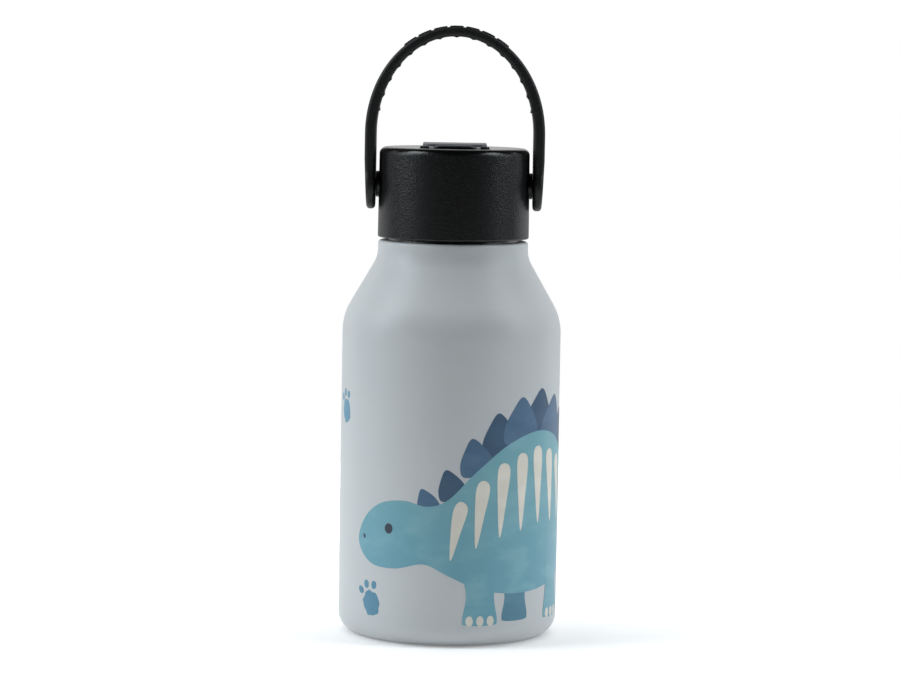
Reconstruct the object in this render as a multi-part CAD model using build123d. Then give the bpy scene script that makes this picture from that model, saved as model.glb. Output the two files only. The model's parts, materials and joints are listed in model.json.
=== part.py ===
"""Kids vacuum water bottle with a screw cap, a flip spout and a swinging carry handle.

Millimetres, +Z up. The origin is at the centre of the base, on the surface it stands on.
The drinking side faces -Y, and the handle's two pivots lie on a line along X.
"""

from build123d import *
import math
import os

# Steel flask
BODY_R = 36.5
BASE_CORNER_R = 6.5
SHELL_WALL = 0.6
FLASK_WALL = 0.5
VACUUM_GAP = 3.6
CONE_ANGLE = 30.0
CONE_START_Z = 105.95
SHOULDER_BLEND_R = 19.6
COLLAR_BLEND_R = 10.0
COLLAR_R = 25.0
COLLAR_TOP_Z = 131.3
COLLAR_EDGE_R = 1.0
NECK_R = 21.6
NECK_WALL = 0.6
MOUTH_R = 19.8
LIP_TOP_Z = 142.5
LIP_THICK = 0.6
LIP_EDGE_R = 0.3
FLASK_FLOOR_Z = 7.5
FLASK_CORNER_R = 8.0
FLASK_SHOULDER_R = 15.0
FLASK_NECK_R = 5.0
FOOT_INNER_R = 28.0
FOOT_LIP_H = 2.6
BASE_PLATE_Z = 1.6
BASE_STEP_H = 0.4
BASE_STEP_MARGIN = 1.4
BASE_STEP_SLOPE = 0.8
COVER_DISC_R = 19.6
COVER_DISC_THICK = 0.6
COVER_DISC_EDGE_R = 0.3
SEAL_DIMPLE_R = 5.0
SEAL_DIMPLE_H = 1.0
SEAL_DIMPLE_SLOPE = 0.6
PUMP_HOLE_R = 0.8
BEAD_R = 3.2
BEAD_THICK = 0.85
BEAD_EDGE_R = 0.5
GETTER_X = 12.0
GETTER_R = 5.0
GETTER_THICK = 1.9
GETTER_EDGE_R = 0.8

# Screw thread between the neck and the cap, single start
THREAD_PITCH = 3.6
THREAD_DEPTH = 0.75
THREAD_BASE_W = 1.6
THREAD_CREST_W = 0.7
THREAD_ROOT_SINK = 0.25
NECK_THREAD_Z = (134.0, 140.7)
CAP_THREAD_Z = (133.5, 139.5)
CAP_THREAD_R = 22.55

# Cap
CAP_BOTTOM_Z = 132.3
CAP_TOP_Z = 162.3
CAP_BOTTOM_R = 25.2
CAP_TOP_R = 25.0
CAP_EDGE_R = 2.3
CAP_RIM_R = 0.5
CAP_INNER_R = 23.5
CAP_INNER_CORNER_R = 1.0
CAP_PLATE = 2.0
LINER_R = 23.45
LINER_BOTTOM_Z = 132.7
DECK_Z = 144.3
DECK_THICK = 1.7
GASKET_R = (19.3, 22.2)
GASKET_GAP = 0.05
GASKET_EDGE_R = 0.4
GASKET_RING_R = (18.0, 18.9)
GASKET_RING_H = 1.6
RISER_R = 5.0

# Spout recess in the cap's top
RECESS_HALF_X = 11.5
RECESS_FRONT_Y = -18.0
RECESS_BACK_Y = 12.7
RECESS_CORNER_R = 1.5
RECESS_RIM_R = 0.4
RECESS_FLOOR_Z = 151.6
RECESS_WALL = 1.6

# Flip spout, lying folded towards -Y
SPOUT_Y = 8.0
SPOUT_Z = 158.0
BARREL_R = 4.3
SPOUT_HALF_X = 10.6
ARM_THICK = 2.0
ARM_DROP = 1.5
ARM_FRONT_Y = -8.2
ARM_CORNER_R = 3.0
PLATE_BOTTOM_Z = 162.9
PLATE_TOP_Z = 163.9
PLATE_BACK_Y = 2.8
PLATE_FRONT_Y = -12.2
PLATE_CORNER_R = 3.0
PLATE_EDGE_R = 0.4
TRUNNION_R = 2.2
TRUNNION_HALF_X = 12.7
TRUNNION_HOLE_HALF_X = 13.2
RUNNING_GAP = 0.05
BORE_R = 2.2
SPIGOT_R = 3.0
SPIGOT_TIP_Y = -1.0
MOUTH_SIZE = (16.6, 7.6)
MOUTH_Z = 159.6
MOUTH_BACK_Y = 1.5
MOUTH_TIP_Y = -13.4
MOUTH_TIP_EDGE_R = 0.2
MOUTH_WALL = 0.55
MOUTH_POCKET = 6.5
PASSAGE_SIZE = (8.0, 4.6)
PASSAGE_Z = 158.8
SPOUT_SEAL_R = 3.9
SPOUT_SEAL_TOP_Z = 154.6
SPOUT_SEAL_GAP = 0.1

# Straw and vent
STRAW_R = 4.2
STRAW_BORE_R = 3.4
STRAW_BOTTOM_Z = 10.5
STRAW_SPIGOT_Z = 134.0
STRAW_STOP_H = 1.2
STRAW_STOP_WALL = 0.6
STRAW_CUT_ANGLE = 30.0
VENT_Y = -8.0
VENT_HOLE_R = 1.2
VENT_SKIRT_R = 3.8
VENT_SKIRT_THICK = 0.8
VENT_SKIRT_EDGE_R = 0.5
VENT_STEM_R = 0.9
VENT_BARB_R = 1.9
VENT_BARB_H = 1.2
VENT_BARB_CHAMFER = 0.8

# Carry handle
PIVOT_Z = 149.8
BOSS_R = 4.35
BOSS_FACE_X = 26.0
BOSS_EDGE_R = 0.3
BOSS_ROOT = 0.3
CLIP_PAD_MARGIN = 0.1
PIN_R = 2.5
PIN_FIT_GAP = 0.02
PIN_HEAD_R = 4.0
PIN_HEAD_X = (28.0, 29.2)
PIN_HEAD_CHAMFER = 0.3
PIN_HEAD_GAP = 0.1
PIN_TIP_X = 21.6
PIN_TIP_CHAMFER = 0.4
CLIP_R = 3.6
CLIP_X = (22.2, 22.9)
CLIP_SLOT_HALF_W = 0.7
ARCH_Z = 166.7
ARCH_OUTER = (29.85, 35.6)
ARCH_INNER = (26.15, 32.4)
GRIP_THICK = 1.3
GRIP_RISE = 0.55
GRIP_HALF_W = 6.0
GRIP_START = 13.5
SCALLOPS = 14
SCALLOP_DEPTH = 0.7
PAD_RISE = 0.4
PAD_EDGE_R = 0.3
PADS = 7
PAD_ARC = (54.0, 126.0)
PAD_GROOVE = 1.0
STRAP_HALF_W = 7.25
PADDLE_R = 8.3
PADDLE_TIP_X = (26.2, 29.1)
STRAP_EDGE_R = 1.2
STRAP_CROSSWISE = 0.9

# Reach of a cutting tool past the solid that it cuts
CLEAR = 1.0
BEYOND = 40.0


def turned(points, radii):
    """A solid turned about Z from the outline (r, z), closed down the axis."""
    line = FilletPolyline(*[(r, 0, z) for r, z in points], radius=radii)
    outline = Wire(list(line.edges()) + list(Polyline(line @ 1, line @ 0).edges()))
    return revolve(Face(outline), Axis.Z)


def disc(radius, low, high, x=0.0, y=0.0):
    """An upright cylinder between two heights."""
    height = high - low
    return Pos(x, y, low + height / 2) * Cylinder(radius, height)


def ring(inner, outer, low, high, x=0.0, y=0.0):
    """An upright tube between two heights."""
    return disc(outer, low, high, x, y) - disc(inner, low - CLEAR, high + CLEAR, x, y)


def block(x, y, z):
    """A box between two limits along each axis."""
    middle = Pos((x[0] + x[1]) / 2, (y[0] + y[1]) / 2, (z[0] + z[1]) / 2)
    return middle * Box(x[1] - x[0], y[1] - y[0], z[1] - z[0])


def rod_x(radius, x, y, z):
    """A cylinder along X between two values of x."""
    return Pos((x[0] + x[1]) / 2, y, z) * Rot(0, 90, 0) * Cylinder(radius, x[1] - x[0])


def rod_y(radius, y, x, z):
    """A cylinder along Y between two values of y."""
    return Pos(x, (y[0] + y[1]) / 2, z) * Rot(90, 0, 0) * Cylinder(radius, y[1] - y[0])


def oval_y(width, height, y, z):
    """A flat-sided oval bar along Y, centred on x = 0."""
    face = Plane.XZ * SlotOverall(width, height)
    return Pos(0, y[1], z) * extrude(face, y[1] - y[0])


def cone_drop(inset):
    """How far the shoulder's lower corner drops when the outline moves inwards."""
    return inset * math.tan(math.radians(CONE_ANGLE / 2))


def cone_height(wide, narrow):
    """The height that the shoulder's cone takes between two radii."""
    return (wide - narrow) / math.tan(math.radians(CONE_ANGLE))


def thread_ridge(root_r, crest_r, span):
    """One helical ridge, from the root radius to the crest radius."""
    out = 1 if crest_r > root_r else -1
    sunk = root_r - out * THREAD_ROOT_SINK
    path = Helix(THREAD_PITCH, span[1] - span[0], sunk, center=(0, 0, span[0]))
    half_base = THREAD_BASE_W / 2
    half_crest = THREAD_CREST_W / 2
    reach = abs(crest_r - sunk)
    corners = [(0, -half_base), (reach, -half_crest), (reach, half_crest), (0, half_base)]
    plane = Plane(path @ 0, x_dir=(out, 0, 0), z_dir=path % 0)
    section = plane * make_face(Polyline(corners, close=True))
    return sweep(section, path=path, is_frenet=True)


def shell_outline(inset):
    """The outer shell's outline below the neck, moved inwards by inset."""
    drop = cone_drop(inset)
    wide = BODY_R - inset
    narrow = COLLAR_R - inset
    start = CONE_START_Z - drop
    points = [
        (0, inset),
        (wide, inset),
        (wide, start),
        (narrow, start + cone_height(wide, narrow)),
        (narrow, COLLAR_TOP_Z - inset),
        (0, COLLAR_TOP_Z - inset),
    ]
    radii = [
        BASE_CORNER_R - inset,
        SHOULDER_BLEND_R - inset,
        COLLAR_BLEND_R + inset,
        COLLAR_EDGE_R - inset,
    ]
    return turned(points, radii)


def outer_shell():
    """Painted outer shell with the bare threaded neck drawn up from it."""
    neck_top = LIP_TOP_Z - LIP_THICK
    solid = shell_outline(0) + disc(NECK_R, COLLAR_TOP_Z - CLEAR, neck_top)
    solid -= shell_outline(SHELL_WALL)
    solid -= disc(NECK_R - NECK_WALL, COLLAR_TOP_Z - 2 * CLEAR, neck_top + CLEAR)
    solid -= disc(FOOT_INNER_R, -CLEAR, CLEAR)
    solid += ring(FOOT_INNER_R, FOOT_INNER_R + SHELL_WALL, 0, FOOT_LIP_H)
    return solid + thread_ridge(NECK_R, NECK_R + THREAD_DEPTH, NECK_THREAD_Z)


def flask_outline(inset):
    """The inner flask's outline up to the lip, moved inwards by inset."""
    outer = SHELL_WALL + VACUUM_GAP
    wide = BODY_R - outer - inset
    narrow = MOUTH_R + FLASK_WALL - inset
    start = CONE_START_Z - cone_drop(outer + inset)
    points = [
        (0, FLASK_FLOOR_Z - FLASK_WALL + inset),
        (wide, FLASK_FLOOR_Z - FLASK_WALL + inset),
        (wide, start),
        (narrow, start + cone_height(wide, narrow)),
        (narrow, LIP_TOP_Z + inset),
        (0, LIP_TOP_Z + inset),
    ]
    radii = [FLASK_CORNER_R - inset, FLASK_SHOULDER_R - inset, FLASK_NECK_R + inset, 0]
    return turned(points, radii)


def inner_flask():
    """Inner flask, with its lip rolled out over the end of the outer neck."""
    lip = disc(NECK_R, LIP_TOP_Z - LIP_THICK, LIP_TOP_Z)
    lip = fillet(lip.edges().sort_by(Axis.Z)[-1:], LIP_EDGE_R)
    return flask_outline(0) + lip - flask_outline(FLASK_WALL)


def base_plate_profile(rise):
    """The plate's stepped underside or, raised by its thickness, its top."""
    step_r = COVER_DISC_R + BASE_STEP_MARGIN - rise
    dimple_r = SEAL_DIMPLE_R + rise
    low = BASE_PLATE_Z + rise
    return [
        (0, low + BASE_STEP_H + SEAL_DIMPLE_H),
        (dimple_r, low + BASE_STEP_H + SEAL_DIMPLE_H),
        (dimple_r + SEAL_DIMPLE_SLOPE, low + BASE_STEP_H),
        (step_r, low + BASE_STEP_H),
        (step_r + BASE_STEP_SLOPE, low),
        (FOOT_INNER_R, low),
    ]


def base_plate():
    """Dished steel plate that closes the bottom of the outer shell."""
    points = base_plate_profile(0) + base_plate_profile(SHELL_WALL)[::-1]
    return turned(points, 0) - disc(PUMP_HOLE_R, 0, FLASK_FLOOR_Z)


def rounded_disc(radius, low, high, edge_r, x=0.0, y=0.0):
    """A disc with its lower edge rounded."""
    solid = disc(radius, low, high, x, y)
    return fillet(solid.edges().sort_by(Axis.Z)[:1], edge_r)


def vacuum_seal_bead():
    """Glass bead that closes the pumping hole, under the dimple."""
    top = BASE_PLATE_Z + BASE_STEP_H + SEAL_DIMPLE_H
    return rounded_disc(BEAD_R, top - BEAD_THICK, top, BEAD_EDGE_R)


def base_cover_disc():
    """Thin disc glued over the bead."""
    top = BASE_PLATE_Z + BASE_STEP_H
    return rounded_disc(COVER_DISC_R, top - COVER_DISC_THICK, top, COVER_DISC_EDGE_R)


def getter_capsule():
    """Gas getter, spot welded under the inner flask, inside the vacuum."""
    top = FLASK_FLOOR_Z - FLASK_WALL
    return rounded_disc(GETTER_R, top - GETTER_THICK, top, GETTER_EDGE_R, x=GETTER_X)


def neck_gasket():
    """Flat silicone gasket that the cap presses on the lip."""
    low = LIP_TOP_Z + GASKET_GAP
    high = DECK_Z - GASKET_GAP
    gasket = ring(GASKET_R[0], GASKET_R[1], low, high)
    return fillet(gasket.edges().filter_by(GeomType.CIRCLE), GASKET_EDGE_R)


def cap_body():
    """The cap's skirt and top, before the recess is cut."""
    top_in = CAP_TOP_Z - CAP_PLATE
    low_in = CAP_BOTTOM_Z - CLEAR
    outer = [(0, CAP_BOTTOM_Z), (CAP_BOTTOM_R, CAP_BOTTOM_Z), (CAP_TOP_R, CAP_TOP_Z), (0, CAP_TOP_Z)]
    inner = [(0, low_in), (CAP_INNER_R, low_in), (CAP_INNER_R, top_in), (0, top_in)]
    return turned(outer, [CAP_RIM_R, CAP_EDGE_R]) - turned(inner, [0, CAP_INNER_CORNER_R])


def recess_prism(grow, low, high):
    """The recess's rounded plan, grown outwards, between two heights."""
    width = 2 * (RECESS_HALF_X + grow)
    length = RECESS_BACK_Y - RECESS_FRONT_Y + 2 * grow
    middle_y = (RECESS_FRONT_Y + RECESS_BACK_Y) / 2
    face = Pos(0, middle_y, low) * RectangleRounded(width, length, RECESS_CORNER_R + grow)
    return extrude(face, high - low)


def pivot_boss(side):
    """Round boss on the cap's side, with a pad inside for the clip."""
    root_x = CAP_INNER_R + BOSS_ROOT
    boss = rod_x(BOSS_R, (root_x, BOSS_FACE_X), 0, PIVOT_Z)
    boss = fillet(boss.edges().sort_by(Axis.X)[-1:], BOSS_EDGE_R)
    pad = rod_x(CLIP_R + CLIP_PAD_MARGIN, (CLIP_X[1], root_x), 0, PIVOT_Z)
    return mirror_side(boss + pad, side)


def mirror_side(solid, side):
    """The right-hand solid itself, or its mirror image on the left."""
    return solid if side > 0 else mirror(solid, about=Plane.YZ)


def recess_rim(solid):
    """The edges where the recess opens in the cap's flat top."""
    top_edges = solid.edges().group_by(Axis.Z)[-1]
    return [edge for edge in top_edges if abs((edge @ 0.5).X) < RECESS_HALF_X + CLEAR]


def cap_shell():
    """Cap's outer moulding: skirt, top, spout recess and handle bosses."""
    floor_low = RECESS_FLOOR_Z - RECESS_WALL
    trunnion_x = (-TRUNNION_HOLE_HALF_X, TRUNNION_HOLE_HALF_X)
    solid = cap_body() + recess_prism(RECESS_WALL, floor_low, CAP_TOP_Z - CAP_PLATE / 2)
    for side in (1, -1):
        solid += pivot_boss(side)
    solid -= recess_prism(0, RECESS_FLOOR_Z, CAP_TOP_Z + CLEAR)
    solid = fillet(recess_rim(solid), RECESS_RIM_R)
    solid -= rod_x(TRUNNION_R + RUNNING_GAP, trunnion_x, SPOUT_Y, SPOUT_Z)
    solid -= disc(SPOUT_SEAL_R, floor_low - CLEAR, RECESS_FLOOR_Z + CLEAR, y=SPOUT_Y)
    solid -= disc(VENT_HOLE_R, floor_low - CLEAR, RECESS_FLOOR_Z + CLEAR, y=VENT_Y)
    for side in (1, -1):
        hole_x = (PIN_TIP_X - CLEAR, BOSS_FACE_X + CLEAR)
        solid -= mirror_side(rod_x(PIN_R + PIN_FIT_GAP, hole_x, 0, PIVOT_Z), side)
    return solid


def liner_thread():
    """Internal ridge, turned so that it runs half a pitch off the neck's."""
    lead = (CAP_THREAD_Z[0] - NECK_THREAD_Z[0] - THREAD_PITCH / 2) / THREAD_PITCH
    ridge = thread_ridge(CAP_THREAD_R, CAP_THREAD_R - THREAD_DEPTH, CAP_THREAD_Z)
    return Rot(0, 0, 360 * (lead % 1)) * ridge


def cap_liner():
    """Threaded inner moulding, with the straw spigot and the riser above it."""
    deck_top = DECK_Z + DECK_THICK
    straw_stop = DECK_Z - STRAW_STOP_H
    solid = ring(CAP_THREAD_R, LINER_R, LINER_BOTTOM_Z, DECK_Z)
    solid += disc(LINER_R, DECK_Z, deck_top)
    solid += ring(GASKET_RING_R[0], GASKET_RING_R[1], DECK_Z - GASKET_RING_H, DECK_Z)
    solid += disc(RISER_R, deck_top, RECESS_FLOOR_Z - RECESS_WALL, y=SPOUT_Y)
    solid += disc(STRAW_BORE_R, STRAW_SPIGOT_Z, DECK_Z, y=SPOUT_Y)
    solid += disc(STRAW_R + STRAW_STOP_WALL, straw_stop, DECK_Z, y=SPOUT_Y)
    solid -= disc(BORE_R, STRAW_SPIGOT_Z - CLEAR, RECESS_FLOOR_Z, y=SPOUT_Y)
    solid -= disc(VENT_HOLE_R, DECK_Z - CLEAR, deck_top + CLEAR, y=VENT_Y)
    return solid + liner_thread()


def straw():
    """Drinking tube on the spigot, cut at a slant above the floor."""
    tube = ring(STRAW_BORE_R, STRAW_R, STRAW_BOTTOM_Z, DECK_Z - STRAW_STOP_H, y=SPOUT_Y)
    slant = Pos(0, SPOUT_Y, STRAW_BOTTOM_Z) * Rot(STRAW_CUT_ANGLE, 0, 0)
    cutter = slant * Pos(0, 0, -BEYOND / 2) * Box(BEYOND, BEYOND, BEYOND)
    return tube - cutter


def vent_valve():
    """Silicone umbrella that lets air in under the deck as water leaves."""
    deck_top = DECK_Z + DECK_THICK
    skirt = rounded_disc(VENT_SKIRT_R, DECK_Z - VENT_SKIRT_THICK, DECK_Z, VENT_SKIRT_EDGE_R, y=VENT_Y)
    stem = disc(VENT_STEM_R, DECK_Z, deck_top, y=VENT_Y)
    barb = disc(VENT_BARB_R, deck_top, deck_top + VENT_BARB_H, y=VENT_Y)
    barb = chamfer(barb.edges().sort_by(Axis.Z)[-1:], VENT_BARB_CHAMFER)
    return skirt + stem + barb


def spout_seal():
    """Silicone saddle that the barrel turns on; it closes when the spout is folded."""
    low = RECESS_FLOOR_Z - RECESS_WALL
    seal = disc(SPOUT_SEAL_R, low, SPOUT_SEAL_TOP_Z, y=SPOUT_Y)
    seal -= disc(BORE_R, low - CLEAR, SPOUT_Z, y=SPOUT_Y)
    return seal - rod_x(BARREL_R + SPOUT_SEAL_GAP, (-SPOUT_HALF_X, SPOUT_HALF_X), SPOUT_Y, SPOUT_Z)


def pivot_pin(side):
    """Headed pin through the strap and the cap's wall."""
    head = rod_x(PIN_HEAD_R, PIN_HEAD_X, 0, PIVOT_Z)
    head = chamfer(head.edges().sort_by(Axis.X)[-1:], PIN_HEAD_CHAMFER)
    shaft = rod_x(PIN_R, (PIN_TIP_X, PIN_HEAD_X[0]), 0, PIVOT_Z)
    shaft = chamfer(shaft.edges().sort_by(Axis.X)[:1], PIN_TIP_CHAMFER)
    return mirror_side(head + shaft, side)


def pin_clip(side):
    """Split washer that holds the pin from inside the cap."""
    wide = (CLIP_X[0] - CLEAR, CLIP_X[1] + CLEAR)
    clip = rod_x(CLIP_R, CLIP_X, 0, PIVOT_Z) - rod_x(PIN_R, wide, 0, PIVOT_Z)
    clip -= block(wide, (-CLIP_SLOT_HALF_W, CLIP_SLOT_HALF_W), (PIVOT_Z, PIVOT_Z + 2 * CLIP_R))
    return mirror_side(clip, side)


def nozzle_outline(y):
    """The mouthpiece's outer form between two values of y."""
    return oval_y(MOUTH_SIZE[0], MOUTH_SIZE[1], y, MOUTH_Z)


def spout_arm(side):
    """Side cheek from the barrel forward, under the thumb plate."""
    x = sorted((side * (SPOUT_HALF_X - ARM_THICK), side * SPOUT_HALF_X))
    low = SPOUT_Z - ARM_DROP
    back = block(x, (PLATE_BACK_Y, SPOUT_Y), (low, SPOUT_Z + BARREL_R))
    front = block(x, (ARM_FRONT_Y, PLATE_BACK_Y), (low, PLATE_BOTTOM_Z))
    arm = back + front
    front_edges = arm.edges().filter_by(Axis.X).group_by(Axis.Y)[0]
    return fillet(front_edges.sort_by(Axis.Z)[:1], ARM_CORNER_R)


def thumb_plate():
    """Plate over the mouthpiece, rounded at the front corners and along the top."""
    y = (PLATE_FRONT_Y, PLATE_BACK_Y)
    plate = block((-SPOUT_HALF_X, SPOUT_HALF_X), y, (PLATE_BOTTOM_Z, PLATE_TOP_Z))
    plate = fillet(plate.edges().filter_by(Axis.Z).group_by(Axis.Y)[0], PLATE_CORNER_R)
    return fillet(plate.faces().sort_by(Axis.Z)[-1].edges(), PLATE_EDGE_R)


def spout_lever():
    """Barrel with its trunnions, side cheeks, spigot and thumb plate."""
    solid = rod_x(BARREL_R, (-SPOUT_HALF_X, SPOUT_HALF_X), SPOUT_Y, SPOUT_Z)
    solid += rod_x(TRUNNION_R, (-TRUNNION_HALF_X, TRUNNION_HALF_X), SPOUT_Y, SPOUT_Z)
    for side in (1, -1):
        solid += spout_arm(side)
    solid += thumb_plate()
    solid -= nozzle_outline((MOUTH_TIP_Y - CLEAR, MOUTH_BACK_Y))
    solid += rod_y(SPIGOT_R, (SPIGOT_TIP_Y, SPOUT_Y), 0, SPOUT_Z)
    return solid - rod_y(BORE_R, (SPIGOT_TIP_Y - CLEAR, SPOUT_Y + BARREL_R + CLEAR), 0, SPOUT_Z)


def mouthpiece():
    """Soft oval nozzle pushed on the spigot."""
    solid = nozzle_outline((MOUTH_TIP_Y, MOUTH_BACK_Y))
    solid = fillet(solid.edges().group_by(Axis.Y)[0], MOUTH_TIP_EDGE_R)
    pocket_y = (MOUTH_TIP_Y - CLEAR, MOUTH_TIP_Y + MOUTH_POCKET)
    pocket = (MOUTH_SIZE[0] - 2 * MOUTH_WALL, MOUTH_SIZE[1] - 2 * MOUTH_WALL)
    solid -= oval_y(pocket[0], pocket[1], pocket_y, MOUTH_Z)
    solid -= oval_y(PASSAGE_SIZE[0], PASSAGE_SIZE[1], (MOUTH_TIP_Y, SPIGOT_TIP_Y), PASSAGE_Z)
    return solid - rod_y(SPIGOT_R, (SPIGOT_TIP_Y, MOUTH_BACK_Y + CLEAR), 0, SPOUT_Z)


def arch_face(outer, inner, start=0.0):
    """A half-oval band about the arch centre, in the XZ plane."""
    outside = EllipticalCenterArc((0, 0), outer[0], outer[1], start, arc_size=180 - 2 * start)
    inside = EllipticalCenterArc((0, 0), inner[0], inner[1], start, arc_size=180 - 2 * start)
    sides = [Line(outside @ 0, inside @ 0), Line(outside @ 1, inside @ 1)]
    return Plane.XZ * Pos(0, ARCH_Z) * make_face([outside, inside] + sides)


def strap_band(face, half_width):
    """A face in the XZ plane, drawn out along Y to both sides."""
    return extrude(Pos(0, half_width, 0) * face, 2 * half_width)


def leg_face(side):
    """One leg's outline, tapering towards the paddle's tip."""
    low = PIVOT_Z - PADDLE_R
    outline = Polyline(
        (side * ARCH_INNER[0], ARCH_Z),
        (side * ARCH_OUTER[0], ARCH_Z),
        (side * ARCH_OUTER[0], PIVOT_Z + PADDLE_R),
        (side * PADDLE_TIP_X[1], low),
        (side * PADDLE_TIP_X[0], low),
        (side * ARCH_INNER[0], PIVOT_Z + PADDLE_R),
        close=True,
    )
    return Plane.XZ * make_face(outline)


def strap_side_outline():
    """The strap seen along X: a straight band that widens to a round paddle."""
    band = Rectangle(2 * STRAP_HALF_W, 2 * BEYOND, align=(Align.CENTER, Align.MIN))
    face = Plane.YZ * Pos(0, PIVOT_Z) * (band + Circle(PADDLE_R))
    return extrude(face, BEYOND, both=True)


def grip_band(rise):
    """The soft grip's solid band, from its seat to a height above the arch's inside."""
    outer = (ARCH_INNER[0] + GRIP_THICK, ARCH_INNER[1] + GRIP_THICK)
    inner = (ARCH_INNER[0] - rise, ARCH_INNER[1] - rise)
    return strap_band(arch_face(outer, inner, GRIP_START), GRIP_HALF_W)


def handle_strap():
    """Stiff strap, with a seat for the grip and counterbores for the pins.

    Every edge is rounded but those that run across the strap.
    """
    solid = strap_band(arch_face(ARCH_OUTER, ARCH_INNER), PADDLE_R)
    for side in (1, -1):
        solid += strap_band(leg_face(side), PADDLE_R)
    solid = solid & strap_side_outline()
    along = [edge for edge in solid.edges() if abs((edge % 0.5).Y) < STRAP_CROSSWISE]
    solid = fillet(along, STRAP_EDGE_R)
    hole_x = (PADDLE_TIP_X[0] - CLEAR, BEYOND)
    head_x = (PIN_HEAD_X[0] - RUNNING_GAP, BEYOND)
    for side in (1, -1):
        solid -= mirror_side(rod_x(PIN_R + RUNNING_GAP, hole_x, 0, PIVOT_Z), side)
        solid -= mirror_side(rod_x(PIN_HEAD_R + PIN_HEAD_GAP, head_x, 0, PIVOT_Z), side)
    return solid - grip_band(2 * GRIP_THICK)


def handle_grip():
    """Soft grip inlaid along the inside of the arch, scalloped for the fingers."""
    cusp = (ARCH_INNER[0] - GRIP_RISE, ARCH_INNER[1] - GRIP_RISE)
    solid = grip_band(GRIP_RISE)
    edge = EllipticalCenterArc((0, 0), cusp[0], cusp[1], GRIP_START, arc_size=180 - 2 * GRIP_START)
    pitch = edge.length / SCALLOPS
    radius = (pitch**2 / 4 + SCALLOP_DEPTH**2) / (2 * SCALLOP_DEPTH)
    for i in range(SCALLOPS):
        at = edge.position_at((i + 0.5) * pitch, position_mode=PositionMode.LENGTH)
        inward = -(Vector(at.X / cusp[0] ** 2, at.Y / cusp[1] ** 2).normalized())
        middle = at + inward * (radius - SCALLOP_DEPTH)
        solid -= rod_y(radius, (-PADDLE_R, PADDLE_R), middle.X, middle.Y + ARCH_Z)
    return solid


def arch_pad(start, arc):
    """One low pad on the outside of the arch, rounded along its top."""
    top = (ARCH_OUTER[0] + PAD_RISE, ARCH_OUTER[1] + PAD_RISE)
    outside = EllipticalCenterArc((0, 0), top[0], top[1], start, arc_size=arc)
    inside = EllipticalCenterArc((0, 0), ARCH_OUTER[0], ARCH_OUTER[1], start, arc_size=arc)
    ends = [Line(outside @ 0, inside @ 0), Line(outside @ 1, inside @ 1)]
    pad = strap_band(Plane.XZ * Pos(0, ARCH_Z) * make_face([outside, inside] + ends), GRIP_HALF_W)
    middle = outside @ 0.5
    top_face = pad.faces().sort_by_distance((middle.X, 0, middle.Y + ARCH_Z))[0]
    return fillet(top_face.edges(), PAD_EDGE_R)


def handle_pads():
    """Low pads along the top of the arch, with narrow grooves between them."""
    step = (PAD_ARC[1] - PAD_ARC[0]) / PADS
    gap = math.degrees(PAD_GROOVE / ARCH_OUTER[1])
    pads = [arch_pad(PAD_ARC[0] + i * step + gap / 2, step - gap) for i in range(PADS)]
    return Compound(children=pads)


NODES = {
    "outer_shell": outer_shell,
    "inner_flask": inner_flask,
    "base_plate": base_plate,
    "vacuum_seal_bead": vacuum_seal_bead,
    "base_cover_disc": base_cover_disc,
    "getter_capsule": getter_capsule,
    "neck_gasket": neck_gasket,
    "cap_shell": cap_shell,
    "cap_liner": cap_liner,
    "spout_seal": spout_seal,
    "straw": straw,
    "vent_valve": vent_valve,
    "right_pivot_pin": lambda: pivot_pin(1),
    "left_pivot_pin": lambda: pivot_pin(-1),
    "right_pin_clip": lambda: pin_clip(1),
    "left_pin_clip": lambda: pin_clip(-1),
    "spout_lever": spout_lever,
    "mouthpiece": mouthpiece,
    "handle_strap": handle_strap,
    "handle_grip": handle_grip,
    "handle_pads": handle_pads,
}


def main():
    os.makedirs("parts", exist_ok=True)
    for name, make in NODES.items():
        export_step(make(), f"parts/{name}.step")


main()
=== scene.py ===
"""Looks of the kids vacuum bottle: a material for every CAD node, the printed decoration,
a pale studio and the camera. Metres, +Z up, in the CAD model's own frame."""

import json
import math

import bmesh
import bpy
from mathutils import Euler, Matrix, Vector


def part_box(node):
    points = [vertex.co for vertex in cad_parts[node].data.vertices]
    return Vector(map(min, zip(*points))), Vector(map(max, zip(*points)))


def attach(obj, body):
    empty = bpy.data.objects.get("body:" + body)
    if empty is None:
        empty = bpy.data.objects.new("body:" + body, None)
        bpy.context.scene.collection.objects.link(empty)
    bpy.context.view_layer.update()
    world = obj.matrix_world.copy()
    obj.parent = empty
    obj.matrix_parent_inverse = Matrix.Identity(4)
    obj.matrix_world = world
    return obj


MM = 0.001

# Camera, level with the handle's arch and looking slightly down, in metres and degrees
CAMERA_DISTANCE = 1.1
CAMERA_HEIGHT = 0.195
CAMERA_SIDE = -0.0005
CAMERA_PITCH = 5.0
CAMERA_ROLL = 1.0
LENS_MM = 132.0

FLOOR_RADIUS = 0.45
FLOOR_GLOW = 0.14

# Studio lights, aimed at the bottle's middle
LIGHT_TARGET = (0, 0, 0.1)
COOL_WHITE = (0.88, 0.95, 1.0)
SOFT_WHITE = (1, 1, 0.99)

# The world's strength from the darkest to the brightest direction, and how far a direction
# has to point behind the bottle for each, as the Y of a unit vector
WORLD_STRENGTH = (0.004, 0.7)
WORLD_FADE = (0.3, 0.8)

# The paint ends where the neck narrows to this radius, and fades out over its edge
BARE_NECK_RADIUS_MM = 22.8
PAINT_EDGE_MM = 0.2

# The cap turns glossy at this depth below its top: its grain fades over the blend, and its
# roughness drops by the polish
GLOSS_DEPTH_MM = 1.9
GLOSS_BLEND_MM = 0.9
GLOSS_POLISH = 0.22

# No plastic is this high, so its grain doesn't fade
NO_GLOSS_Z_MM = 1000.0

# Inks get darker from the higher to the lower of these heights, in millimetres
INK_SHADE_Z_MM = (62.0, 18.0)

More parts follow.
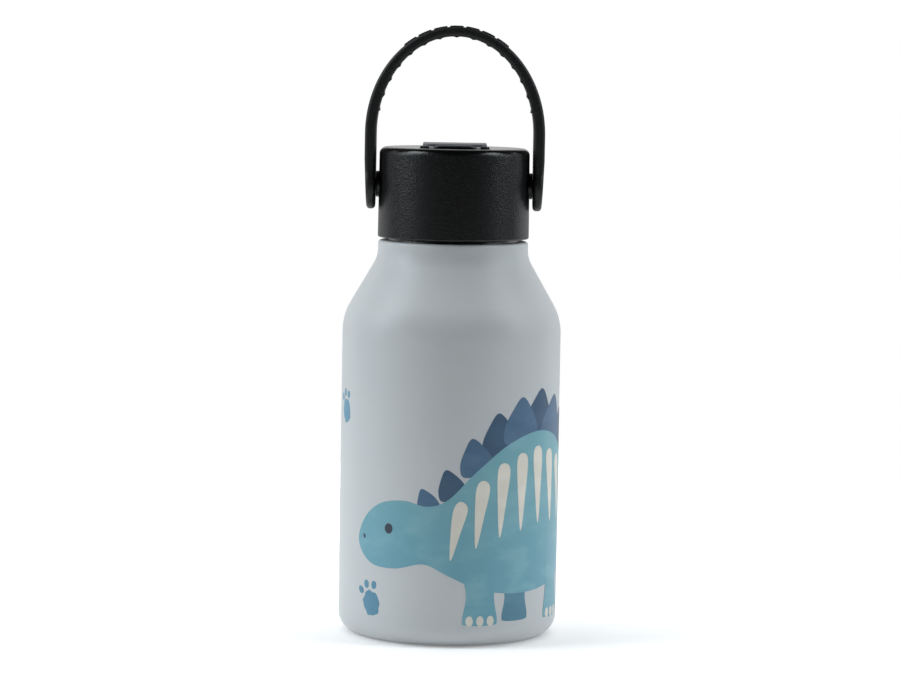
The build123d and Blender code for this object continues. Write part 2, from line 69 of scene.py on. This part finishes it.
# Sockets of the Mix node, which has its own inputs and output for each kind of value
MIX_SHARE = 0
MIX_NUMBERS = (2, 3)
MIX_NUMBER_OUT = 0
MIX_COLOURS = (6, 7)
MIX_COLOUR_OUT = 2

# Printed decoration, laid out in millimetres round the body (u, from the front) and up it (v):
# the width of the strips it is cut into, how deep its back lies under the paint, the edges in
# degrees that stay sharp, and the points that a curve has between two given ones
PRINT_STEP = 1.5
PRINT_SINK = 0.06
PRINT_CREASE = 40
CURVE_STEPS = 7

# How far each layer of ink stands proud of the paint, in millimetres
FAR_LIFT = 0.03
NEAR_PLATES_LIFT = 0.05
FOOTPRINTS_LIFT = 0.05
BODY_LIFT = 0.07
NEAR_LEGS_LIFT = 0.09
DETAIL_LIFT = 0.11

# Screen colours of each ink: its base, its shade low on the bottle, and its brushed highlights
INKS = {
    "ink_teal": ((108, 160, 172), (92, 148, 168), (124, 172, 182)),
    "ink_far_teal": ((78, 128, 148), (70, 118, 140), (92, 140, 158)),
    "ink_pool_blue": ((84, 136, 160), (74, 126, 152), (102, 152, 176)),
    "ink_navy": ((66, 98, 128), (58, 86, 116), (84, 116, 144)),
    "ink_deep_navy": ((52, 80, 108), (46, 72, 98), (64, 92, 118)),
    "ink_cream": ((212, 208, 196), (202, 198, 186), (226, 222, 212)),
    "ink_dark": ((44, 52, 70), (40, 46, 62), (56, 64, 82)),
}

# The dinosaur's body: from the nose along the back to the tail's tip, then along the belly
BODY_OUTLINE = [
    (-34, 33), (-31, 41), (-24, 46.5), (-15, 48), (-7, 46.5), (0, 49), (9, 58), (21, 67),
    (35, 70.5), (49, 66), (61, 54), (72, 41), (84, 34), (99, 31), (86, 27.5), (72, 26), (60, 24),
    (46, 20), (28, 17.5), (12, 19), (0, 24), (-8, 27.5), (-18, 25.5), (-28, 26.5),
]
BACK_RIDGE = BODY_OUTLINE[2:14]

# Row of plates along the back, and one plate's outline as shares of its size
PLATES = 11
PLATE_ROW_U = (-10, 78)
PLATE_SIZE = 6.5
PLATE_SWELL = 8.5
PLATE_LEAN = (28, -38)
PLATE_SINK = 1.5
PLATE_PROFILE = [
    (-0.42, 0.0), (-0.5, 0.35), (-0.26, 0.78), (0.02, 1.05), (0.3, 0.74), (0.48, 0.34), (0.42, 0.0),
]

# Pale stripes down the flank, longest in the middle
STRIPES = 8
STRIPES_START_U = 4
STRIPE_STEP = 7.4
STRIPE_BELOW_BACK = 5.5
STRIPE_LENGTH = 17
STRIPE_SWELL = 8
STRIPE_HALF_WIDTH = 2.3
STRIPE_BEND = 0.9

# Legs: place u, half width, top, and the sole's height where it isn't the usual one
LEG_FOOT_V = 7.6
FAR_LEGS = [(24, 4.6, 24, 8.6), (58, 4.4, 30, 8.6)]
NEAR_LEGS = [(11, 5.2, 26), (45, 5.6, 30)]

# Nails on the near feet: how far from the leg's middle, how high, and half of each size
NAIL_SHIFTS = (-3.6, 0, 3.6)
NAIL_V = 9.0
NAIL_SIZE = (1.25, 1.7)

# Eye and nostril: place (u, v), half of each size, and the nostril's turn in degrees
EYE = (-20.5, 38.5, 1.5, 1.7)
NOSTRIL = (-31.0, 35.0, 0.5, 0.8, 20)

# Footprints: place (u, v), size, and lean in degrees
FOOTPRINTS = [
    (-44.6, 75.0, 6.0, 12), (63.0, 82.0, 6.0, -10), (-27.5, 13.0, 6.4, 20), (-60.0, 40.0, 6.0, -16),
    (-78.0, 84.0, 6.0, 22), (-96.0, 22.0, 6.2, -8), (-104.0, 60.0, 6.0, 14), (112.0, 84.0, 6.0, -18),
    (84.0, 62.0, 5.6, 16), (108.0, 50.0, 6.0, 6),
]

# A footprint's toes: place across and up as shares of its size, and splay in degrees
TOES = ((-0.5, 0.84, 26), (0.0, 1.02, 0), (0.5, 0.84, -26))


def linear(red, green, blue):
    """A colour given as 0 to 255 screen values, as the shader's linear colour."""
    values = []
    for value in (red, green, blue):
        share = value / 255
        values.append(share / 12.92 if share <= 0.04045 else ((share + 0.055) / 1.055) ** 2.4)
    return (*values, 1.0)


class Look:
    """One material: a Principled shader and the nodes that feed it, in millimetres."""

    def __init__(self, name, **sockets):
        self.material = bpy.data.materials.new(name)
        self.material.use_nodes = True
        self.nodes = self.material.node_tree.nodes
        self.links = self.material.node_tree.links
        self.shader = self.nodes["Principled BSDF"]
        for socket, value in sockets.items():
            self.shader.inputs[socket.replace("_", " ")].default_value = value
        place = self.nodes.new("ShaderNodeTexCoord").outputs["Object"]
        self.place = self.scaled(place, (1 / MM, 1 / MM, 1 / MM))
        self.normal = None

    def feed(self, node, socket, value):
        """Links a value that comes from a node, or sets a constant."""
        if isinstance(value, bpy.types.NodeSocket):
            self.links.new(value, node.inputs[socket])
        else:
            node.inputs[socket].default_value = value

    def scaled(self, vector, scale):
        """A vector times a scale for each axis."""
        node = self.nodes.new("ShaderNodeVectorMath")
        node.operation = "MULTIPLY"
        self.feed(node, 0, vector)
        self.feed(node, 1, scale)
        return node.outputs["Vector"]

    def math(self, operation, first, second=0.0):
        """The result of one operation on two numbers."""
        node = self.nodes.new("ShaderNodeMath")
        node.operation = operation
        self.feed(node, 0, first)
        self.feed(node, 1, second)
        return node.outputs["Value"]

    def axis(self, name):
        """The X, Y or Z place in millimetres."""
        node = self.nodes.new("ShaderNodeSeparateXYZ")
        self.feed(node, "Vector", self.place)
        return node.outputs[name]

    def radius(self):
        """The distance from the bottle's axis in millimetres."""
        across = self.math("POWER", self.axis("X"), 2.0)
        along = self.math("POWER", self.axis("Y"), 2.0)
        return self.math("SQRT", self.math("ADD", across, along))

    def step(self, value, start, end):
        """0 up to start and 1 from end on, smooth between them; start may be the larger."""
        node = self.nodes.new("ShaderNodeMapRange")
        node.interpolation_type = "SMOOTHSTEP"
        self.feed(node, "Value", value)
        self.feed(node, "From Min", start)
        self.feed(node, "From Max", end)
        return node.outputs["Result"]

    def span(self, value, low, high):
        """A value from 0 to 1, spread between low and high."""
        node = self.nodes.new("ShaderNodeMapRange")
        self.feed(node, "Value", value)
        self.feed(node, "To Min", low)
        self.feed(node, "To Max", high)
        return node.outputs["Result"]

    def noise(self, per_mm, detail=2.0, stretch=None, vector=None):
        """Soft noise from 0 to 1, at so many features to the millimetre."""
        node = self.nodes.new("ShaderNodeTexNoise")
        place = vector or self.place
        self.feed(node, "Vector", self.scaled(place, stretch) if stretch else place)
        self.feed(node, "Scale", per_mm)
        self.feed(node, "Detail", detail)
        return node.outputs["Fac"]

    def cells(self, per_mm):
        """Distance to the nearest of many scattered points."""
        node = self.nodes.new("ShaderNodeTexVoronoi")
        self.feed(node, "Vector", self.place)
        self.feed(node, "Scale", per_mm)
        return node.outputs["Distance"]

    def turned(self, per_mm):
        """Fine rings round the bottle's axis, as a lathe or a polishing belt leaves."""
        node = self.nodes.new("ShaderNodeCombineXYZ")
        self.feed(node, "X", self.radius())
        self.feed(node, "Z", self.axis("Z"))
        return self.noise(per_mm, 3.0, vector=node.outputs["Vector"])

    def blend(self, share, first, second):
        """A number between two others."""
        node = self.nodes.new("ShaderNodeMix")
        self.feed(node, MIX_SHARE, share)
        self.feed(node, MIX_NUMBERS[0], first)
        self.feed(node, MIX_NUMBERS[1], second)
        return node.outputs[MIX_NUMBER_OUT]

    def mix(self, share, first, second):
        """A colour between two others."""
        node = self.nodes.new("ShaderNodeMix")
        node.data_type = "RGBA"
        self.feed(node, MIX_SHARE, share)
        self.feed(node, MIX_COLOURS[0], first)
        self.feed(node, MIX_COLOURS[1], second)
        return node.outputs[MIX_COLOUR_OUT]

    def bump(self, height, depth_mm):
        """Adds relief of a depth in millimetres to what is already there."""
        node = self.nodes.new("ShaderNodeBump")
        self.feed(node, "Height", height)
        node.inputs["Distance"].default_value = depth_mm * MM
        if self.normal:
            self.links.new(self.normal, node.inputs["Normal"])
        self.normal = node.outputs["Normal"]

    def done(self, colour, roughness, metallic=None):
        """Connects the shader and returns the material."""
        self.feed(self.shader, "Base Color", colour)
        self.feed(self.shader, "Roughness", roughness)
        if metallic is not None:
            self.feed(self.shader, "Metallic", metallic)
        if self.normal:
            self.links.new(self.normal, self.shader.inputs["Normal"])
        return self.material


def powder_coat():
    """Pale grey powder coat on the body; the neck above the shoulder is bare steel with real turned
    rings, coloured darker than the inner flask's steel as painted shade of the gap under the cap.
    """
    look = Look("powder_coat")
    cloud = look.noise(0.05)
    speck = look.noise(3.0)
    paint = look.mix(cloud, linear(184, 188, 190), linear(190, 193, 194))
    paint = look.mix(look.span(speck, 0.0, 0.25), paint, linear(204, 207, 208))
    rings = look.turned(6.0)
    # Neck steel with its turned rings, coloured darker than bare_steel: painted shade of the gap under
    # the cap
    steel = look.mix(rings, linear(132, 130, 127), linear(172, 170, 166))
    bare = look.step(look.radius(), BARE_NECK_RADIUS_MM + PAINT_EDGE_MM, BARE_NECK_RADIUS_MM)
    look.bump(look.noise(0.8), 0.02)
    look.bump(look.noise(2.4, 3.0), 0.018)
    rough = look.blend(bare, look.span(speck, 0.40, 0.50), look.span(rings, 0.3, 0.5))
    return look.done(look.mix(bare, paint, steel), rough, bare)


def bare_steel():
    """Stainless steel with fine turned rings."""
    look = Look("bare_steel", Metallic=1.0)
    rings = look.turned(5.0)
    look.bump(rings, 0.006)
    tone = look.mix(rings, linear(170, 167, 162), linear(212, 209, 204))
    return look.done(tone, look.span(rings, 0.2, 0.42))


def seal_glass():
    """Dark sealing glass, slightly cloudy."""
    look = Look("seal_glass", Coat_Weight=0.5)
    cloud = look.noise(0.8, 3.0)
    tone = look.mix(cloud, linear(28, 34, 36), linear(58, 68, 70))
    return look.done(tone, look.span(cloud, 0.08, 0.2))


def silicone():
    """Milky food-grade silicone."""
    look = Look("silicone", Subsurface_Weight=0.35, Subsurface_Scale=0.002)
    cloud = look.noise(0.4)
    look.bump(look.noise(2.0), 0.01)
    tone = look.mix(cloud, linear(206, 208, 205), linear(222, 223, 221))
    return look.done(tone, look.span(cloud, 0.42, 0.55))


def grained_plastic(name, dark, light, rough, grain_per_mm, grain_depth, gloss_z=NO_GLOSS_Z_MM):
    """Moulded plastic with a spark-eroded grain, smoother above a height in millimetres."""
    look = Look(name, Specular_IOR_Level=0.4)
    grain = look.noise(grain_per_mm, 3.0)
    pits = look.cells(grain_per_mm * 0.8)
    cloud = look.noise(0.08)
    smooth = look.step(look.axis("Z"), gloss_z, gloss_z + GLOSS_BLEND_MM)
    textured = look.math("SUBTRACT", 1.0, smooth)
    look.bump(look.math("MULTIPLY", pits, textured), grain_depth)
    look.bump(look.math("MULTIPLY", grain, textured), grain_depth)
    tone = look.mix(look.span(grain, 0.2, 0.8), linear(*dark), linear(*light))
    tone = look.mix(look.span(cloud, 0.0, 0.3), tone, linear(*light))
    polish = look.math("MULTIPLY", smooth, GLOSS_POLISH)
    return look.done(tone, look.math("SUBTRACT", look.span(grain, *rough), polish))


def straw_plastic():
    """Frosted straw, drawn out lengthways."""
    look = Look("straw_plastic", Transmission_Weight=0.45, IOR=1.45)
    cloud = look.noise(0.3)
    look.bump(look.noise(1.5, stretch=(1, 1, 0.1)), 0.01)
    tone = look.mix(cloud, linear(214, 219, 220), linear(230, 234, 235))
    return look.done(tone, look.span(cloud, 0.18, 0.3))


def soft_rubber(name, dark, light, rough):
    """Matte rubber with a faint bloom."""
    look = Look(name, Sheen_Weight=0.12, Sheen_Roughness=0.4)
    bloom = look.noise(0.25, 3.0)
    fine = look.noise(5.0)
    look.bump(fine, 0.012)
    tone = look.mix(bloom, linear(*dark), linear(*light))
    return look.done(tone, look.span(fine, *rough))


def ink(name, base, shade, light):
    """Printed ink, airbrushed softly, darker towards the bottle's foot."""
    look = Look(name)
    brush = look.noise(0.09, 3.0, stretch=(1.0, 1.0, 1.8))
    grain = look.noise(2.0, 3.0)
    low = look.step(look.axis("Z"), *INK_SHADE_Z_MM)
    tone = look.mix(look.math("MULTIPLY", low, 0.7), linear(*base), linear(*shade))
    tone = look.mix(look.math("MULTIPLY", look.step(brush, 0.42, 0.7), 0.6), tone, linear(*light))
    tone = look.mix(look.span(grain, 0.0, 0.25), tone, linear(*light))
    look.bump(look.noise(2.4, 3.0), 0.014)
    return look.done(tone, look.span(brush, 0.38, 0.5))


def materials_by_slot():
    """The material of every slot that the record gives the CAD nodes."""
    cap_gloss_z_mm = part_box("cap_shell")[1].z / MM - GLOSS_DEPTH_MM
    # Darkest and lightest colour, roughness, grain per millimetre and its depth, start of the gloss
    plastics = {
        "cap_plastic": ((4, 4, 4), (10, 10, 11), (0.32, 0.46), 2.0, 0.07, cap_gloss_z_mm),
        "liner_plastic": ((26, 26, 27), (36, 36, 37), (0.35, 0.5), 2.0, 0.008),
        "spout_plastic": ((122, 122, 125), (140, 140, 143), (0.38, 0.55), 3.0, 0.014),
        "handle_plastic": ((13, 13, 13), (20, 20, 20), (0.45, 0.6), 3.0, 0.018),
    }
    # Darkest and lightest colour, and roughness
    rubbers = {
        "mouthpiece_rubber": ((98, 98, 102), (116, 116, 121), (0.42, 0.55)),
        "grip_rubber": ((12, 12, 12), (20, 20, 21), (0.55, 0.7)),
    }
    looks = {
        "powder_coat": powder_coat(),
        "bare_steel": bare_steel(),
        "seal_glass": seal_glass(),
        "silicone": silicone(),
        "straw_plastic": straw_plastic(),
    }
    for slot, values in plastics.items():
        looks[slot] = grained_plastic(slot, *values)
    for slot, values in rubbers.items():
        looks[slot] = soft_rubber(slot, *values)
    return looks


def dress_cad(frame):
    """Gives every CAD node the material of its slot in the record."""
    looks = materials_by_slot()
    for part in frame["record"]["subparts"]:
        mesh = frame["nodes"][part["node"]].data
        mesh.materials.clear()
        mesh.materials.append(looks[part["material_slot"]])


def smooth_loop(points):
    """A closed Catmull-Rom curve through the points."""
    curve = []
    count = len(points)
    for i in range(count):
        before, start, end, after = (Vector(points[(i + k) % count]) for k in (-1, 0, 1, 2))
        slope = end - before
        bend = 2 * before - 5 * start + 4 * end - after
        twist = 3 * start - before - 3 * end + after
        for k in range(CURVE_STEPS):
            t = k / CURVE_STEPS
            curve.append(0.5 * (2 * start + slope * t + bend * t**2 + twist * t**3))
    return curve


def oval(u, v, half_u, half_v, turn=0.0, count=22):
    """An ellipse's points, turned by some degrees."""
    turn = math.radians(turn)
    points = []
    for i in range(count):
        angle = 2 * math.pi * i / count
        across = half_u * math.cos(angle)
        up = half_v * math.sin(angle)
        points.append(Vector((u + across * math.cos(turn) - up * math.sin(turn),
                              v + across * math.sin(turn) + up * math.cos(turn))))
    return points


def flat_patch(outlines):
    """A flat mesh of the outlines, cut into upright strips so that it can be wrapped."""
    patch = bmesh.new()
    for outline in outlines:
        patch.faces.new([patch.verts.new((p.x, p.y, 0)) for p in outline])
    bmesh.ops.recalc_face_normals(patch, faces=patch.faces)
    for face in patch.faces:
        if face.normal.z < 0:
            face.normal_flip()
    bmesh.ops.triangulate(patch, faces=patch.faces)
    low = min(v.co.x for v in patch.verts)
    high = max(v.co.x for v in patch.verts)
    for i in range(1, int((high - low) / PRINT_STEP) + 1):
        everything = [*patch.verts, *patch.edges, *patch.faces]
        place = (low + i * PRINT_STEP, 0, 0)
        bmesh.ops.bisect_plane(patch, geom=everything, plane_co=place, plane_no=(1, 0, 0))
    return patch


def wrapped(point, body_radius, lift):
    """A flat (u, v) place in millimetres, rolled round the body at a lift from it, in metres."""
    angle = point.x / body_radius
    radius = body_radius + lift
    return (radius * math.sin(angle) * MM, -radius * math.cos(angle) * MM, point.y * MM)


def closed_skin(patch):
    """Faces of the patch, of its copy underneath and of the wall round their edges."""
    count = len(patch.verts)
    faces = [[v.index for v in face.verts] for face in patch.faces]
    faces += [[v.index + count for v in reversed(face.verts)] for face in patch.faces]
    for edge in patch.edges:
        if edge.is_boundary:
            loop = edge.link_loops[0]
            a, b = loop.vert.index, loop.link_loop_next.vert.index
            faces.append([a, a + count, b + count, b])
    return faces


def printed(name, outlines, lift, material):
    """Thin closed patches of ink on the body, standing lift millimetres proud."""
    patch = flat_patch(outlines)
    patch.verts.index_update()
    body_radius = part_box("outer_shell")[1].x / MM
    top = [wrapped(v.co, body_radius, lift) for v in patch.verts]
    bottom = [wrapped(v.co, body_radius, -PRINT_SINK) for v in patch.verts]
    faces = closed_skin(patch)
    patch.free()
    mesh = bpy.data.meshes.new(name)
    mesh.from_pydata(top + bottom, [], faces)
    mesh.polygons.foreach_set("use_smooth", [True] * len(faces))
    mesh.set_sharp_from_angle(angle=math.radians(PRINT_CREASE))
    mesh.materials.append(material)
    piece = bpy.data.objects.new(name, mesh)
    bpy.context.scene.collection.objects.link(piece)
    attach(piece, "flask")


def between(ends, share):
    """The value at a share of the way from the first end to the second."""
    return ends[0] + (ends[1] - ends[0]) * share


def back_height(u):
    """The height of the back above u, from the body's outline."""
    for (u0, v0), (u1, v1) in zip(BACK_RIDGE, BACK_RIDGE[1:]):
        if u0 <= u <= u1:
            return v0 + (v1 - v0) * (u - u0) / (u1 - u0)
    return BACK_RIDGE[-1][1]


def leg(u, half_width, top, foot=LEG_FOOT_V):
    """A stubby leg that widens a little at the foot."""
    waist = half_width * 0.92
    ankle = half_width * 1.15
    sole = half_width * 0.85
    middle = (top + foot) / 2
    return smooth_loop([
        (u - half_width, top), (u - waist, middle), (u - ankle, foot + 1.6), (u - sole, foot),
        (u + sole, foot), (u + ankle, foot + 1.6), (u + waist, middle), (u + half_width, top),
    ])


def back_plates(first):
    """Every other plate of the row that follows the back, largest in the middle."""
    plates = []
    for i in range(first, PLATES, 2):
        share = (i + 0.5) / PLATES
        u = between(PLATE_ROW_U, share)
        size = PLATE_SIZE + PLATE_SWELL * math.sin(math.pi * share) ** 1.3
        lean = math.radians(between(PLATE_LEAN, share))
        foot = Vector((u, back_height(u) - PLATE_SINK))
        up = Vector((-math.sin(lean), math.cos(lean)))
        side = Vector((up.y, -up.x))
        outline = [foot + side * (across * size) + up * (rise * size) for across, rise in PLATE_PROFILE]
        plates.append(smooth_loop(outline))
    return plates


def stripe(u, top, length, bend):
    """One stripe, round at the top and drawn to a point that leans aside by bend."""
    half = STRIPE_HALF_WIDTH
    middle = u + bend / 2
    return smooth_loop([
        (u, top + 0.9), (u + half, top - 1.6), (middle + half * 0.7, top - length * 0.5),
        (u + bend, top - length), (middle - half * 0.7, top - length * 0.5), (u - half, top - 1.6),
    ])


def flank_stripes():
    """Tapering pale stripes down the flank."""
    stripes = []
    for i in range(STRIPES):
        u = STRIPES_START_U + i * STRIPE_STEP
        length = STRIPE_LENGTH + STRIPE_SWELL * math.sin(math.pi * (i + 0.5) / STRIPES)
        bend = (i - (STRIPES - 1) / 2) * STRIPE_BEND
        stripes.append(stripe(u, back_height(u) - STRIPE_BELOW_BACK, length, bend))
    return stripes


def blot(u, v, half_u, half_v, turn, seed):
    """An oval with an uneven, stamped edge."""
    middle = Vector((u, v))
    points = []
    for i, point in enumerate(oval(u, v, half_u, half_v, turn, 26)):
        wobble = 1 + 0.05 * math.sin(5 * i + seed) + 0.04 * math.sin(2.3 * i + 2 * seed)
        points.append(middle + (point - middle) * wobble)
    return smooth_loop(points)


def footprint(u, v, size, lean):
    """A broad stamped foot with three toes."""
    middle = Vector((u, v))
    turn = Matrix.Rotation(math.radians(lean), 2)
    shapes = [blot(u, v, size * 0.56, size * 0.66, lean, u)]
    for across, up, splay in TOES:
        toe = middle + turn @ Vector((across, up)) * size
        shapes.append(oval(toe.x, toe.y, size * 0.17, size * 0.22, lean + splay, 14))
    return shapes


def decoration():
    """A plain plated dinosaur and its stamped footprints."""
    inks = {name: ink(name, *tones) for name, tones in INKS.items()}
    far_legs = [leg(*spec) for spec in FAR_LEGS]
    near_legs = [leg(*spec) for spec in NEAR_LEGS]
    nails = [oval(u + shift, NAIL_V, *NAIL_SIZE) for u, *_ in NEAR_LEGS for shift in NAIL_SHIFTS]
    footprints = [shape for spec in FOOTPRINTS for shape in footprint(*spec)]
    printed("print_far_legs", far_legs, FAR_LIFT, inks["ink_far_teal"])
    printed("print_far_plates", back_plates(1), FAR_LIFT, inks["ink_deep_navy"])
    printed("print_near_plates", back_plates(0), NEAR_PLATES_LIFT, inks["ink_navy"])
    printed("print_body", [smooth_loop(BODY_OUTLINE)], BODY_LIFT, inks["ink_teal"])
    printed("print_near_legs", near_legs, NEAR_LEGS_LIFT, inks["ink_teal"])
    printed("print_stripes", flank_stripes(), DETAIL_LIFT, inks["ink_cream"])
    printed("print_nails", nails, DETAIL_LIFT, inks["ink_cream"])
    printed("print_eye", [oval(*EYE), oval(*NOSTRIL)], DETAIL_LIFT, inks["ink_dark"])
    printed("print_footprints", footprints, FOOTPRINTS_LIFT, inks["ink_pool_blue"])


def make_camera():
    """The camera, tilted down and rolled a little."""
    data = bpy.data.cameras.new("camera")
    data.lens = LENS_MM
    camera = bpy.data.objects.new("camera", data)
    camera.location = (CAMERA_SIDE, -CAMERA_DISTANCE, CAMERA_HEIGHT)
    tilt = Euler((math.radians(90 - CAMERA_PITCH), 0, 0)).to_matrix()
    roll = Euler((0, 0, math.radians(CAMERA_ROLL))).to_matrix()
    camera.rotation_euler = (tilt @ roll).to_euler()
    bpy.context.scene.collection.objects.link(camera)
    bpy.context.scene.camera = camera


def softbox(name, place, size, watts, colour):
    """A rectangular soft light aimed at the bottle."""
    data = bpy.data.lights.new(name, "AREA")
    data.shape = "RECTANGLE"
    data.size, data.size_y = size
    data.energy = watts
    data.color = colour
    light = bpy.data.objects.new(name, data)
    light.location = place
    aim = Vector(LIGHT_TARGET) - Vector(place)
    light.rotation_euler = aim.to_track_quat("-Z", "Y").to_euler()
    bpy.context.scene.collection.objects.link(light)
    return light


def round_the_axis(degrees, distance, height):
    """A place at some degrees from the front, seen from above, to the right if positive."""
    angle = math.radians(degrees)
    return (distance * math.sin(angle), -distance * math.cos(angle), height)


def make_lights():
    """Softboxes at both sides, rim lights behind them, and one above that isn't reflected."""
    softbox("left_softbox", round_the_axis(-80, 1.0, 0.75), (0.5, 1.1), 10.4, COOL_WHITE)
    softbox("right_softbox", round_the_axis(80, 1.0, 0.75), (0.4, 1.1), 7.2, COOL_WHITE)
    softbox("left_rim", round_the_axis(-125, 1.1, 0.3), (0.3, 1.1), 0.7, COOL_WHITE)
    softbox("right_rim", round_the_axis(125, 1.1, 0.3), (0.3, 1.1), 1.1, COOL_WHITE)
    top = softbox("top_softbox", (0, 0.2, 1.38), (1.4, 0.7), 13, SOFT_WHITE)
    top.visible_glossy = False


def make_world():
    """White to look at; as a light it is pale behind the bottle and dark in front of it."""
    world = bpy.data.worlds.new("tent")
    world.use_nodes = True
    nodes, links = world.node_tree.nodes, world.node_tree.links
    place = nodes.new("ShaderNodeTexCoord")
    split = nodes.new("ShaderNodeSeparateXYZ")
    links.new(place.outputs["Generated"], split.inputs["Vector"])
    strength = nodes.new("ShaderNodeMapRange")
    strength.interpolation_type = "SMOOTHSTEP"
    strength.inputs["From Min"].default_value = WORLD_FADE[0]
    strength.inputs["From Max"].default_value = WORLD_FADE[1]
    strength.inputs["To Min"].default_value = WORLD_STRENGTH[0]
    strength.inputs["To Max"].default_value = WORLD_STRENGTH[1]
    links.new(split.outputs["Y"], strength.inputs["Value"])
    path = nodes.new("ShaderNodeLightPath")
    brightness = nodes.new("ShaderNodeMath")
    brightness.operation = "MAXIMUM"
    links.new(strength.outputs["Result"], brightness.inputs[0])
    links.new(path.outputs["Is Camera Ray"], brightness.inputs[1])
    background = nodes["Background"]
    links.new(brightness.outputs["Value"], background.inputs["Strength"])
    background.inputs["Color"].default_value = (1, 1, 1, 1)
    bpy.context.scene.world = world


def make_floor():
    """A large pale floor that glows a little, so that it doesn't turn grey."""
    mesh = bpy.data.meshes.new("floor")
    patch = bmesh.new()
    bmesh.ops.create_circle(patch, cap_ends=True, radius=FLOOR_RADIUS, segments=96)
    patch.to_mesh(mesh)
    patch.free()
    look = Look("floor", Emission_Color=(1, 1, 1, 1), Emission_Strength=FLOOR_GLOW)
    tone = look.mix(look.noise(0.02, 3.0), linear(246, 246, 246), linear(250, 250, 250))
    mesh.materials.append(look.done(tone, 0.7))
    floor = bpy.data.objects.new("floor", mesh)
    bpy.context.scene.collection.objects.link(floor)


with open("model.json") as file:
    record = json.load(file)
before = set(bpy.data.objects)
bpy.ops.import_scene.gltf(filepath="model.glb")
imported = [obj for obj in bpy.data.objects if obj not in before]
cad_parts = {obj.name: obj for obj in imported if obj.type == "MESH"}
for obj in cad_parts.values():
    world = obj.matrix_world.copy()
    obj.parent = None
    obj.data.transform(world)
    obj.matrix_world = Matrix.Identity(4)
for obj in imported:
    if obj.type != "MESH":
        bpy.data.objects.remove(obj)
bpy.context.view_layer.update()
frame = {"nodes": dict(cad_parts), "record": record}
make_camera()
make_lights()
make_world()
make_floor()
dress_cad(frame)
decoration()
bpy.context.scene.view_settings.view_transform = "Standard"
